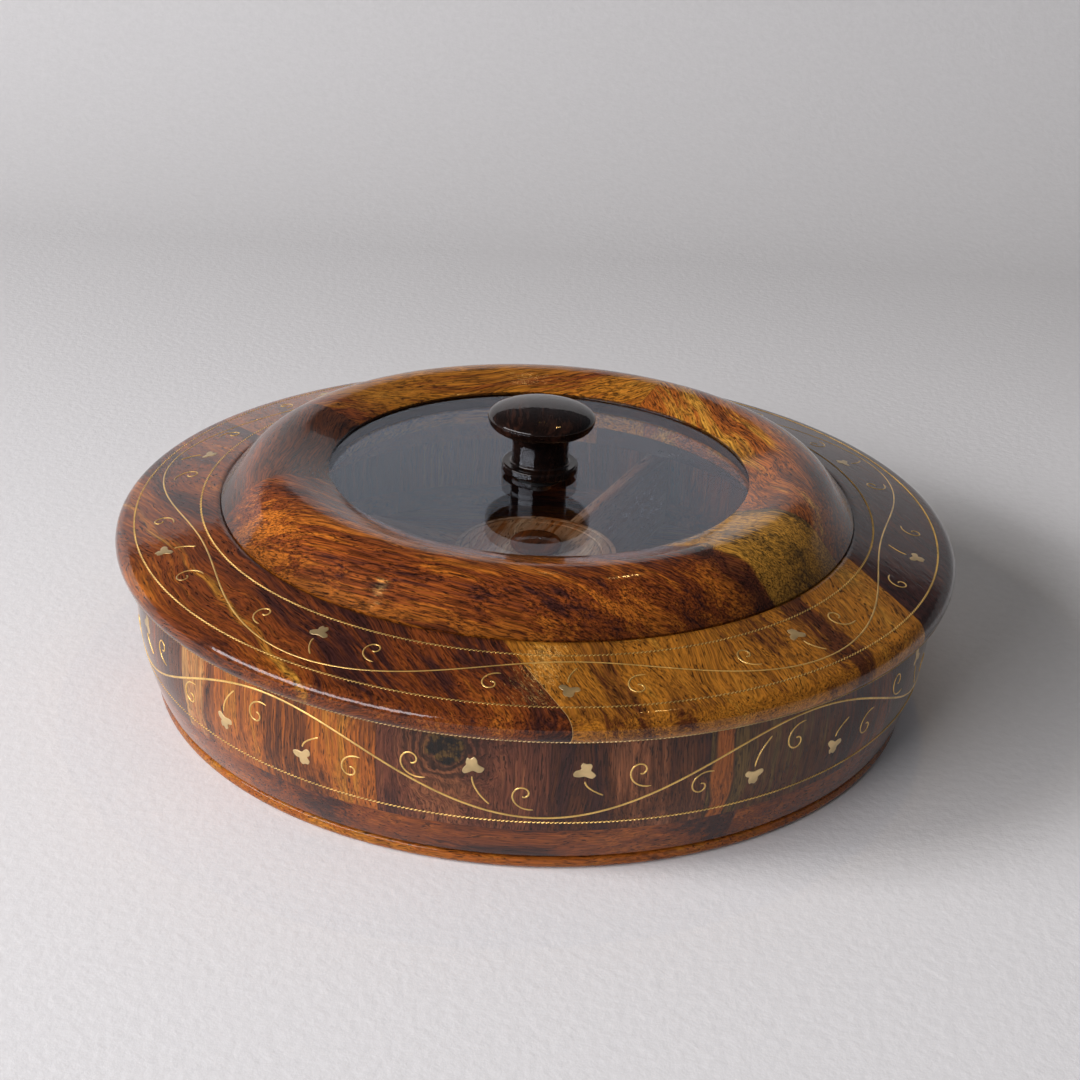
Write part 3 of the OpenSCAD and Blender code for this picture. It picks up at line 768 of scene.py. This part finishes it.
def centre_ring():
    inner = POT_R - 3
    seat = inner + 1.2
    profile = [(inner, FLOOR), (POT_R, FLOOR)] + arc(POT_R - 0.8, POT_TOP - 0.8, 0.8, 0, 90, 5)
    profile += [(seat, POT_TOP), (seat, POT_TOP - 3), (inner, POT_TOP - 3)]
    points, faces, _ = turned(profile, step=3)
    material = wood("centre_ring_wood", (COPPER, ROSE, CREAM), 0.55, 0.8, 12, 0.2, polish=0.12)
    solid = Solid().add(points, faces, laid(40), "pot")
    piece("centre_ring_turning", solid, "box", ["centre_ring"], material)


def centre_lid():
    edge = high("centre_lid", 0)
    groove = arc(edge - 3, POT_TOP + 0.15, 0.5, -17, -163, 5)
    profile = [(0, POT_TOP - 3), (edge, POT_TOP - 3)] + arc(edge - 0.5, POT_TOP - 0.5, 0.5, 0, 90, 4)
    profile += groove + [(2.2, POT_TOP), (0, POT_TOP)]
    points, faces, _ = turned(profile, step=3)
    material = wood("centre_lid_wood", (COPPER, ROSE, CREAM), 0.5, 0.9, 14, 0.25, polish=0.08)
    solid = Solid().add(points, faces, laid(70), "pot lid")
    piece("centre_lid_disc", solid, "centre_pot_lid", ["centre_lid"], material)


def centre_lid_button():
    rounding = 1.4
    profile = [(0, POT_TOP - 2), (2.2, POT_TOP - 2), (2.2, POT_TOP), (BUTTON_R - 2.4, POT_TOP),
               (BUTTON_R - 2.0, POT_TOP + 0.8)]
    profile += arc(BUTTON_R - rounding, BUTTON_TOP - rounding - 0.5, rounding, -45, 70, 8)
    profile += arc(0, BUTTON_TOP - 26, 26, 78, 90, 5)
    points, faces, _ = turned(profile, step=5)
    material = wood("centre_button_wood", (UMBER, RUSSET, COPPER), 0.5, 1.0, 14, 0.25, polish=0.06)
    solid = Solid().add(points, faces, laid(70), "button")
    piece("centre_lid_button_turning", solid, "centre_pot_lid", ["centre_lid_button"], material)


def brim_profile():
    top = [(r, float(brim_z(r))) for r in np.linspace(RIM_CENTRE_R - 1.5, CROWN_FOOT_R + 3.5, 8)]
    top += [(r, float(brim_z(r))) for r in (CROWN_FOOT_R + 2, CROWN_FOOT_R + 1)]
    foot_z = float(brim_z(CROWN_FOOT_R))
    notch = [(CROWN_FOOT_R + 0.3, foot_z - 0.4), (CROWN_FOOT_R, foot_z - 0.6)]
    rim = arc(RIM_CENTRE_R, RIM_CENTRE_Z, RIM_ROUND_R, -90, 90 - BRIM_SLOPE, 20)
    seat = [(CROWN_FOOT_R, CROWN_SEAT), (BRIM_INNER_R, CROWN_SEAT)]
    return [(BRIM_INNER_R, WALL_TOP)] + rim + top + notch + seat


# Each brim board: its colours, lightness, contrast, figure, and the band that runs through it, as
# (how far it lies from the box's axis, half width, dark colour, light colour)
BRIM_LOOKS = [
    ((UMBER, AMBER, HONEY), 0.42, 0.72, 34, (27, 1.6, UMBER, RUSSET)),
    ((DEEP, PLUM, UMBER), 0.62, 0.8, 16, None),
    ((UMBER, COPPER, AMBER), 0.46, 0.7, 20, None),
    ((PLUM, RUSSET, EMBER), 0.40, 0.95, 26, (110.4, 0.8, COPPER, HONEY))]
# How much darker the outer planks are made round the rim, and the mark of the pale glue line
DARK_RIM = 0.22
PALE_GLUE = -1


def brim_board(i):
    """The planks all run to one side. Boards 1 and 3 are the middle plank, 2 and 4 the outer ones."""
    name = f"brim_board_{i}"
    middle = BRIM_TURN + 90 * (i - 1)

    def limits(r):
        half = math.degrees(math.asin(PLANK_HALF_W / r))
        half = half if i % 2 else 90 - half
        return middle - half, middle + half

    profile = brim_profile()
    points, faces, joint_and_shade = turned(profile, middle - 60, middle + 60, limits=limits, glue=0.5)
    joint_and_shade = 0.5 * joint_and_shade
    if i == 1:
        joint_and_shade[0] = PALE_GLUE
    if i % 2 == 0:
        joint_and_shade[:, [j for j, (r, _) in enumerate(profile) if r > RIM_CENTRE_R + 1]] += DARK_RIM
    # Painted shade on the brim where it meets the crown's foot, fading out just outside it
    for j, (r, z) in enumerate(profile):
        if z > CROWN_SEAT + 1 and r < RIM_CENTRE_R:
            joint_and_shade[:, j] = np.maximum(joint_and_shade[:, j], max(0, 0.7 - (r - CROWN_FOOT_R) / 2.2))
    axes = pointing(BRIM_TURN)
    colors, lightness, contrast, figure, band = BRIM_LOOKS[i - 1]
    if band:
        side = -1 if i == 4 else 1
        away = side * band[0] * axes[1]
        band = grain_of(away, axes, name)[1], *band[1:]
    material = wood(name + "_wood", colors, lightness, contrast, figure, 0.5, band=band)
    piece(name + "_board", Solid().add(points, faces, axes, name, joint_and_shade), "lid", [name], material)


def crown_profile():
    hump = arc(RIDGE_R, RIDGE_Z - RIDGE_ARC_R, RIDGE_ARC_R, 90 - OUTER_LEAN, 90 + INNER_LEAN, 28)
    (outer_r, outer_z), (inner_r, inner_z) = hump[0], hump[-1]
    foot_z = outer_z - (CROWN_FOOT_R - outer_r) * math.tan(math.radians(OUTER_LEAN))
    lip_z = inner_z - (inner_r - WINDOW_R) * math.tan(math.radians(INNER_LEAN))
    outer = [(CROWN_FOOT_R, foot_z), (0.5 * (CROWN_FOOT_R + outer_r), 0.5 * (foot_z + outer_z))]
    inner = [(0.5 * (inner_r + WINDOW_R), 0.5 * (inner_z + lip_z)), (WINDOW_R + 0.5, lip_z + 0.15)]
    lip = [(WINDOW_R + 0.1, lip_z - 0.1), (WINDOW_R, lip_z - 0.4), (WINDOW_R, GLASS_TOP),
           (REBATE_R, GLASS_TOP)]
    return [(REBATE_R, CROWN_SEAT), (CROWN_FOOT_R, CROWN_SEAT)] + outer + hump + inner + lip


# Each crown board: the turn its grain runs square to, its colours, lightness, contrast and figure
CROWN_LOOKS = [
    (107, (UMBER, COPPER, HONEY), 0.42, 0.9, 22), (197, (RUSSET, AMBER, HONEY), 0.42, 0.8, 24),
    (266, (DEEP, UMBER, RUSSET), 0.50, 0.9, 20), (-23.5, (PLUM, RUSSET, EMBER), 0.64, 1.3, 26)]
# The last crown board: half width of its golden sapwood, and its knot as (turn, radius, size)
SAPWOOD_REACH = 36.3
CROWN_KNOT = (35.5, 76.5, 1.5)
# How far the painted shade at the crown's foot fades out up its slope
FOOT_SHADE_W = 7


def crown_board(i):
    name = f"crown_board_{i}"
    start = CROWN_JOINTS[i - 1]
    stop = CROWN_JOINTS[i] if i < len(CROWN_JOINTS) else CROWN_JOINTS[0] + 360
    profile = crown_profile()
    points, faces, joint_and_shade = turned(profile, start, stop)
    joint_and_shade = 0.4 * joint_and_shade
    # Painted shade on the lip where the crown meets the glass
    joint_and_shade[:, [j for j, (r, _) in enumerate(profile) if r < WINDOW_R + 0.05]] = 0.9
    # Painted shade, darkest at the crown's foot and fading up its slope
    for j, (r, _) in enumerate(profile):
        if r > CROWN_FOOT_R - FOOT_SHADE_W:
            joint_and_shade[:, j] = np.maximum(joint_and_shade[:, j], 0.6 * (1 - (CROWN_FOOT_R - r) / FOOT_SHADE_W))
    turn, colors, lightness, contrast, figure = CROWN_LOOKS[i - 1]
    axes = laid(turn)
    knot = band = None
    if i == len(CROWN_JOINTS):
        band = grain_of(np.zeros(3), axes, name)[1], SAPWOOD_REACH, OLIVE, HONEY
        knot_turn, knot_r, knot_size = CROWN_KNOT
        knot = grain_of(direction(knot_turn) * knot_r + np.array([0, 0, RIDGE_Z]), axes, name), knot_size
    material = wood(name + "_wood", colors, lightness, contrast, figure, 0.7, knot, band, polish=0.08)
    solid = Solid().add(points, faces, axes, name, joint_and_shade)
    piece(name + "_board", solid, "lid", [name], material)


def locating_ring():
    inner = LOCATING_R - 5
    profile = [(inner, WALL_TOP), (inner, LOCATING_LOW + 0.5), (inner + 0.5, LOCATING_LOW)]
    profile += arc(LOCATING_R - 0.9, LOCATING_LOW + 0.9, 0.9, -90, 0, 5) + [(LOCATING_R, WALL_TOP)]
    solid = Solid()
    for k in range(6):
        points, faces, joint_and_shade = turned(profile, 60 * k, 60 * k + 60)
        solid.add(points, faces, laid(60 * k + 30), f"locating {k}", 0.5 * joint_and_shade)
    material = wood("locating_ring_wood", (PLUM, UMBER, RUSSET), 0.5, 0.8, 12, 0.2, polish=0.2)
    piece("locating_ring_turning", solid, "lid", ["locating_ring"], material)


def glass_bead():
    inner = BEAD_R - 3.8
    profile = [(BEAD_R, GLASS_UNDER), (inner, GLASS_UNDER)]
    profile += arc(inner + 2.2, BEAD_LOW + 2.2, 2.2, 180, 270, 7) + [(BEAD_R, BEAD_LOW)]
    points, faces, _ = turned(profile)
    material = wood("glass_bead_wood", (DEEP, PLUM, UMBER), 0.5, 0.8, 12, 0.2, polish=0.2)
    solid = Solid().add(points, faces, laid(20), "bead")
    piece("glass_bead_moulding", solid, "lid", ["glass_bead"], material)


def glass_pane():
    hole, bevel = 2.6, 0.3
    profile = [(hole, GLASS_UNDER + bevel), (hole + bevel, GLASS_UNDER), (PANE_R - bevel, GLASS_UNDER),
               (PANE_R, GLASS_UNDER + bevel), (PANE_R, GLASS_TOP - bevel), (PANE_R - bevel, GLASS_TOP),
               (hole + bevel, GLASS_TOP), (hole, GLASS_TOP - bevel)]
    points, faces, _ = turned(profile)
    solid = Solid().add(points, faces)
    piece("glass_pane_disc", solid, "lid", ["glass_pane"], window_glass(), 20)


def knob():
    """Turned knob: a thin disc foot, a waisted neck and a thick mushroom cap."""
    foot_r, neck_r, edge = 11.6, 8.5, 3.6
    foot_top = GLASS_TOP + 2.6
    neck_low, cap_low = foot_top + 0.7, GLASS_TOP + 12.7
    wide_z = GLASS_TOP + 16.8
    profile = [(0, GLASS_TOP)] + arc(foot_r - 0.4, GLASS_TOP + 0.4, 0.4, -90, 0, 5)
    profile += arc(foot_r - 0.7, foot_top - 0.7, 0.7, 0, 95, 8)
    profile += arc(neck_r + 1.0, neck_low, 0.9, -90, -180, 6)
    for t in np.linspace(0.1, 1, 12):
        flare = 0.1 * (1 - t) + 0.9 * t ** 5
        profile.append((neck_r + flare, neck_low + (cap_low - neck_low) * t))
    profile += arc(KNOB_R - edge, wide_z, edge, -78, -4, 12)
    dome = np.radians(np.linspace(0, 90, 22))
    profile += [(KNOB_R * math.cos(a), wide_z + (KNOB_TOP - wide_z) * math.sin(a)) for a in dome]
    points, faces, _ = turned(profile, step=3)
    black = (0.0015, 0.001, 0.001, 1), (0.007, 0.003, 0.002, 1), (0.032, 0.012, 0.007, 1)
    material = wood("knob_wood", black, 0.45, 1.0, 6, 0.3, polish=0.03)
    solid = Solid().add(points, faces, pointing(0), "knob")
    piece("knob_turning", solid, "lid", ["knob"], material, 30)


# ---------------------------------------------------------------- inlay

WIRE_BRASS = brass("wire_brass", (0.95, 0.60, 0.17), 0.30, 0.3, 0.6)
ROPE_BRASS = brass("rope_brass", (0.50, 0.33, 0.14), 0.42, 0.5, 0.8)
LEAF_BRASS = brass("leaf_brass", (0.80, 0.58, 0.28), 0.40, 0.5, 0.8)
# Ornaments of a bend: (degrees from the bend, distance from the vine's middle), and for a leaf
# how far its stem reaches across and towards the vine
WALL_LEAVES = [(-8.4, 4.4, 4.6, 8.2), (5.2, 4.2, 5.0, 4.4)]
WALL_CURLS = [(-16, 3.8), (-2.2, -3.0), (12, 3.6)]
BRIM_LEAVES = [(-0.5, 3.9, 3.0, 5.6)]
BRIM_CURLS = [(-10.5, 2.4), (8.5, 3.4)]


def bends(turn):
    """Each bend of a vine: its turn, and the side that its ornaments take, 1 or -1."""
    return [(turn + k * 180 / WAVES, 1 if k % 2 == 0 else -1) for k in range(2 * WAVES)]


def inlay(name, wires, body, nodes, material=WIRE_BRASS):
    solid = Solid()
    for points, faces in wires:
        solid.add(points, faces)
    piece(name, solid, body, nodes, material, 50)


def border_wires():
    sink = -0.18
    border = twisted_ring(lambda t: on_wall(t, BORDER_Z, sink),
                          lambda t: wall_out(t, np.full(len(t), BORDER_Z)), float(wall_r(BORDER_Z)))
    inlay("wall_border_twist", [border], "box", ["wall_border_wire"])
    for name, r in [("inner_border", BRIM_BORDERS[0]), ("outer_border", BRIM_BORDERS[1])]:
        ring = twisted_ring(lambda t: on_brim(t, r, sink), brim_out, r)
        inlay(name + "_twist", [ring], "lid", [name + "_wire"])
    lean = math.radians(ROPE_ANGLE)
    rope_r = RIM_CENTRE_R + (RIM_ROUND_R + sink) * math.cos(lean)
    rope_z = RIM_CENTRE_Z + (RIM_ROUND_R + sink) * math.sin(lean)
    up = np.array([0, 0, 1.0])
    rope = twisted_ring(lambda t: direction(t) * rope_r + rope_z * up,
                        lambda t: direction(t) * math.cos(lean) + math.sin(lean) * up, rope_r)
    inlay("rim_rope_twist", [rope], "lid", ["rim_rope_wire"], ROPE_BRASS)


def vines():
    turns = np.arange(900) * 0.4
    z = WALL_VINE_Z - WALL_VINE_RISE * np.cos(np.radians(WAVES * (turns - WALL_VINE_TURN)))
    section = round_section(len(turns), WALL_WIRE_R)
    wire = swept(on_wall(turns, z, -0.20), wall_out(turns, z), section, True)
    inlay("wall_vine_wire", [wire], "box", ["wall_vine"])
    r = BRIM_VINE_R - BRIM_VINE_RISE * np.cos(np.radians(WAVES * (turns - BRIM_VINE_TURN)))
    section = round_section(len(turns), LID_WIRE_R)
    wire = swept(on_brim(turns, r, -0.16), brim_out(turns), section, True)
    inlay("lid_vine_wire", [wire], "lid", ["lid_vine"])


def wall_place(turn, z, side):
    """Puts flat (across, away) points on the wall round an ornament's middle."""
    def place(across, away, rise):
        return on_wall(turn + np.degrees(np.asarray(across) / wall_r(z)), z + side * np.asarray(away), rise)
    return place


def brim_place(turn, r, side):
    def place(across, away, rise):
        return on_brim(turn + np.degrees(np.asarray(across) / r), r + side * np.asarray(away), rise)
    return place


def thread(flat, place, outs_at):
    """A fine wire along a flat path, let into the wood."""
    path = place(flat[:, 0], flat[:, 1], -0.13)
    return swept(path, outs_at(path), round_section(len(flat), TENDRIL_R, 8, False), False)


def wall_outs(path):
    turn = np.degrees(np.arctan2(path[:, 1], path[:, 0])) - FRONT
    return wall_out(turn, path[:, 2])


def brim_outs(path):
    return brim_out(np.degrees(np.arctan2(path[:, 1], path[:, 0])) - FRONT)


def ornaments():
    wall_wires, wall_chips, lid_wires, lid_chips = [], [], [], []
    for k, (turn, side) in enumerate(bends(WALL_VINE_TURN)):
        chance = random.Random(k)
        for du, dv in WALL_CURLS:
            place = wall_place(turn + du, WALL_VINE_Z + side * dv, side)
            path = curl(2.5 * chance.uniform(0.92, 1.08), -62 + chance.uniform(-4, 16))
            wall_wires.append(thread(path, place, wall_outs))
        for du, dv, across, length in WALL_LEAVES:
            place = wall_place(turn + du, WALL_VINE_Z + side * dv, side)
            wall_wires.append(thread(stem(across, length), place, wall_outs))
            wall_chips.append(leaf(place, 2.95, chance.uniform(-22, 18), 10 * k + du))
    for k, (turn, side) in enumerate(bends(BRIM_VINE_TURN)):
        chance = random.Random(100 + k)
        for du, dv in BRIM_CURLS:
            place = brim_place(turn + du, BRIM_VINE_R + side * dv, side)
            path = curl(2.2 * chance.uniform(0.9, 1.1), -62 + chance.uniform(-8, 12))
            lid_wires.append(thread(path, place, brim_outs))
        for du, dv, across, length in BRIM_LEAVES:
            place = brim_place(turn + du, BRIM_VINE_R + side * dv, side)
            lid_wires.append(thread(stem(across, length), place, brim_outs))
            lid_chips.append(leaf(place, 2.8, chance.uniform(-30, 30), 10 * k + du))
    inlay("wall_tendril_wires", wall_wires, "box", ["wall_tendrils"])
    inlay("wall_leaf_chips", wall_chips, "box", ["wall_leaves"], LEAF_BRASS)
    inlay("lid_tendril_wires", lid_wires, "lid", ["lid_tendrils"])
    inlay("lid_leaf_chips", lid_chips, "lid", ["lid_leaves"], LEAF_BRASS)


def fixings():
    """The knob's screw and washers stay as the frame has them, with materials of their own."""
    for node, material in [("knob_screw", steel()), ("steel_washer", steel()), ("rubber_washer", rubber())]:
        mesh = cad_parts[node].data
        mesh.materials.clear()
        mesh.materials.append(material)


# ---------------------------------------------------------------- stage, light and camera

def backdrop():
    """A pale floor that curves up into a wall behind the box, painted darker towards the back as painted
    shade.
    """
    material, s = new_material("pale_backdrop")
    place = s.node("ShaderNodeTexCoord").outputs["Object"]
    nap = s.noise(s.scaled(place, 320, 320, 320), detail=4.0, roughness=0.6)
    color = s.mix(nap, (0.78, 0.78, 0.78, 1), (0.88, 0.88, 0.88, 1))
    # Painted shade: the backdrop goes a darker grey from the box back to the wall
    back = s.range(s.node("ShaderNodeSeparateXYZ", {0: place}).outputs[1], -0.1, 0.6)
    color = s.mix(back, color, s.mix(nap, (0.52, 0.52, 0.52, 1), (0.60, 0.60, 0.60, 1)))
    bump = s.node("ShaderNodeBump", {"Strength": 0.25, "Distance": 0.0008, "Height": nap})
    skin = s.node("ShaderNodeBsdfPrincipled", {"Base Color": color, "Roughness": 0.9,
                                               "Normal": bump.outputs[0], "Specular IOR Level": 0.2})
    s.node("ShaderNodeOutputMaterial", {"Surface": skin.outputs[0]})
    front_y, bend_y, bend_r, half_w = -1.8, 0.45, 0.25, 2.2
    line = [(front_y, 0.0), (bend_y, 0.0)]
    for a in np.radians(np.arange(6, 85, 6)):
        line.append((bend_y + bend_r * math.sin(a), bend_r - bend_r * math.cos(a)))
    line.append((line[-1][0] + 0.02, line[-1][1] + 0.22))
    points = [(x, y, z) for y, z in line for x in (-half_w, half_w)]
    mesh = bpy.data.meshes.new("backdrop")
    mesh.from_pydata(points, [], lattice(len(line), 2, False, False))
    mesh.shade_smooth()
    mesh.materials.append(material)
    made = bpy.data.objects.new("backdrop", mesh)
    bpy.context.scene.collection.objects.link(made)


def area_light(name, toward, away, size, watts, color, seen=True):
    """A rectangular light that faces the box, away metres off. An unseen one leaves no highlight."""
    data = bpy.data.lights.new(name, "AREA")
    data.shape = "RECTANGLE"
    data.size, data.size_y = size
    data.energy = watts
    data.color = color
    made = bpy.data.objects.new(name, data)
    back = Vector(toward).normalized()
    place = Vector((0, 0, 0.05)) + away * back
    made.matrix_world = Matrix.LocRotScale(place, back.to_track_quat("Z", "Y"), None)
    made.visible_glossy = seen
    bpy.context.scene.collection.objects.link(made)


def lights():
    world = bpy.data.worlds.new("room")
    world.use_nodes = True
    world.node_tree.nodes["Background"].inputs[0].default_value = (0.80, 0.86, 1.0, 1)
    world.node_tree.nodes["Background"].inputs[1].default_value = 0.08
    bpy.context.scene.world = world
    bpy.context.scene.view_settings.view_transform = "Standard"
    area_light("window", (-0.74, -0.50, 0.40), 2.3, (2.6, 0.52), 58, (1.0, 0.97, 1.0))
    area_light("key", (-0.82, -0.25, 0.55), 2.3, (0.7, 0.7), 22, (1.0, 0.98, 1.0), False)
    area_light("soft_top", (0.1, -0.3, 0.95), 1.6, (1.2, 1.2), 2, (1.0, 0.98, 0.96), False)
    warm = (1.0, 0.62, 0.20)
    lamps = [((0.02, 0.59, 0.81), 0.06), ((0.21, 0.37, 0.90), 0.8), ((-0.67, -0.31, 0.68), 0.35)]
    for number, (toward, watts) in enumerate(lamps):
        area_light(f"lamp_{number}", toward, 1.8, (0.036, 0.036), watts, warm)


# The camera stands in front of the box. From level and square to it, it is rolled, then tipped down,
# then turned about Z, each by so many degrees.
CAMERA_PLACE = (0, -0.53298, 0.28941)
CAMERA_ROLL = 2.6957
CAMERA_DOWN = 24.9287
CAMERA_TURN = -0.1268
CAMERA_LENS = 63.33


def camera():
    data = bpy.data.cameras.new("camera")
    data.sensor_width = 36
    data.lens = CAMERA_LENS
    data.clip_start = 0.01
    made = bpy.data.objects.new("camera", data)
    roll = Matrix.Rotation(math.radians(CAMERA_ROLL), 4, "Z")
    tip = Matrix.Rotation(math.radians(90 - CAMERA_DOWN), 4, "X")
    turn = Matrix.Rotation(math.radians(CAMERA_TURN), 4, "Z")
    made.matrix_world = Matrix.Translation(CAMERA_PLACE) @ turn @ tip @ roll
    bpy.context.scene.collection.objects.link(made)
    bpy.context.scene.camera = made


camera()
base_board()
lower_ring()
for number in range(1, len(STAVE_JOINTS) + 1):
    stave(number)
for number in range(1, 5):
    divider(number)
centre_ring()
centre_lid()
centre_lid_button()
for number in range(1, len(BRIM_LOOKS) + 1):
    brim_board(number)
for number in range(1, len(CROWN_JOINTS) + 1):
    crown_board(number)
locating_ring()
glass_bead()
glass_pane()
knob()
border_wires()
vines()
ornaments()
fixings()
backdrop()
lights()
